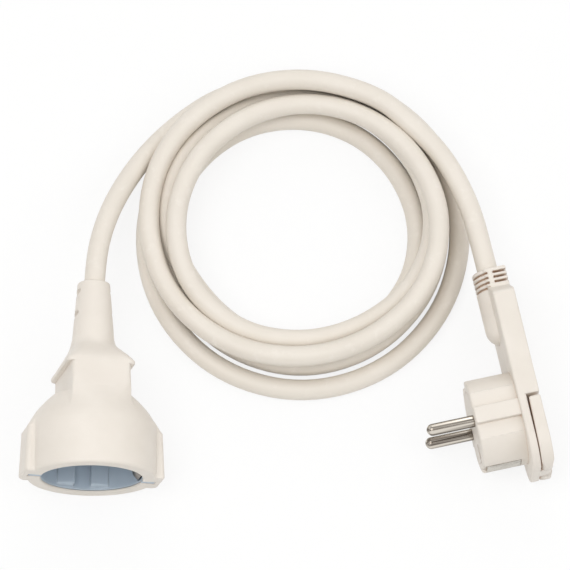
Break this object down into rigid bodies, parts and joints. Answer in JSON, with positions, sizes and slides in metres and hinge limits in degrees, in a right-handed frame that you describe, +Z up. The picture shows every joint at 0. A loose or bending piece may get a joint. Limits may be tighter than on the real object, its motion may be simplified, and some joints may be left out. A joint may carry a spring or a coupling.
{
  "type": "extension cord",
  "caption": "Coiled earthed extension cord with a flat plug that has a fold-out pull lever and an in-line round coupler with a recessed socket",
  "frame": {"origin": "on the table, under the middle of the box round the plug and the coupler", "axes": "+Z up from the table; +X from the coupler towards the plug; the coupler's mouth faces -Y"},
  "size_m": [0.21, 0.1742, 0.0508],
  "materials": {
    "ivory_plastic": "satin moulded, ivory",
    "grey_plastic": "satin moulded, blue grey",
    "spring_steel": "rolled strip",
    "nickel_brass": "nickel plated, turned",
    "bare_brass": "drawn",
    "tin_plate": "tin plated",
    "cord_sheath": "soft extruded sheath, ivory",
    "brown_insulation": "extruded",
    "blue_insulation": "extruded",
    "earth_insulation": "extruded, green and yellow"
  },
  "bodies": {
    "cord_set": {"contact_carrier": "grey_plastic", "cord_coil": "cord_sheath", "coupler_earth_clip": "spring_steel", "coupler_earth_core": "earth_insulation", "coupler_earth_crimp": "tin_plate", "coupler_lead": "cord_sheath", "coupler_line_core": "brown_insulation", "coupler_line_crimp": "tin_plate", "coupler_neutral_core": "blue_insulation", "coupler_neutral_crimp": "tin_plate", "coupler_shell": "ivory_plastic", "earth_pin_sleeve": "bare_brass", "line_contact_sleeve": "bare_brass", "line_pin": "nickel_brass", "neutral_contact_sleeve": "bare_brass", "neutral_pin": "nickel_brass", "pin_bridge": "ivory_plastic", "plug_body": "ivory_plastic", "plug_earth_core": "earth_insulation", "plug_earth_crimp": "tin_plate", "plug_earth_strip": "spring_steel", "plug_lead": "cord_sheath", "plug_line_core": "brown_insulation", "plug_line_crimp": "tin_plate", "plug_neutral_core": "blue_insulation", "plug_neutral_crimp": "tin_plate", "socket_insert": "grey_plastic"},
    "lever": {"pull_lever": "ivory_plastic", "lever_hinge_pin": "spring_steel"}
  },
  "joints": [
    {"name": "pull_lever_hinge", "type": "hinge", "parent": "cord_set", "child": "lever", "pos_m": [0.10245, -0.03738, 0.019], "axis": [0, 0, -1], "range_deg": [0, 90]}
  ]
}
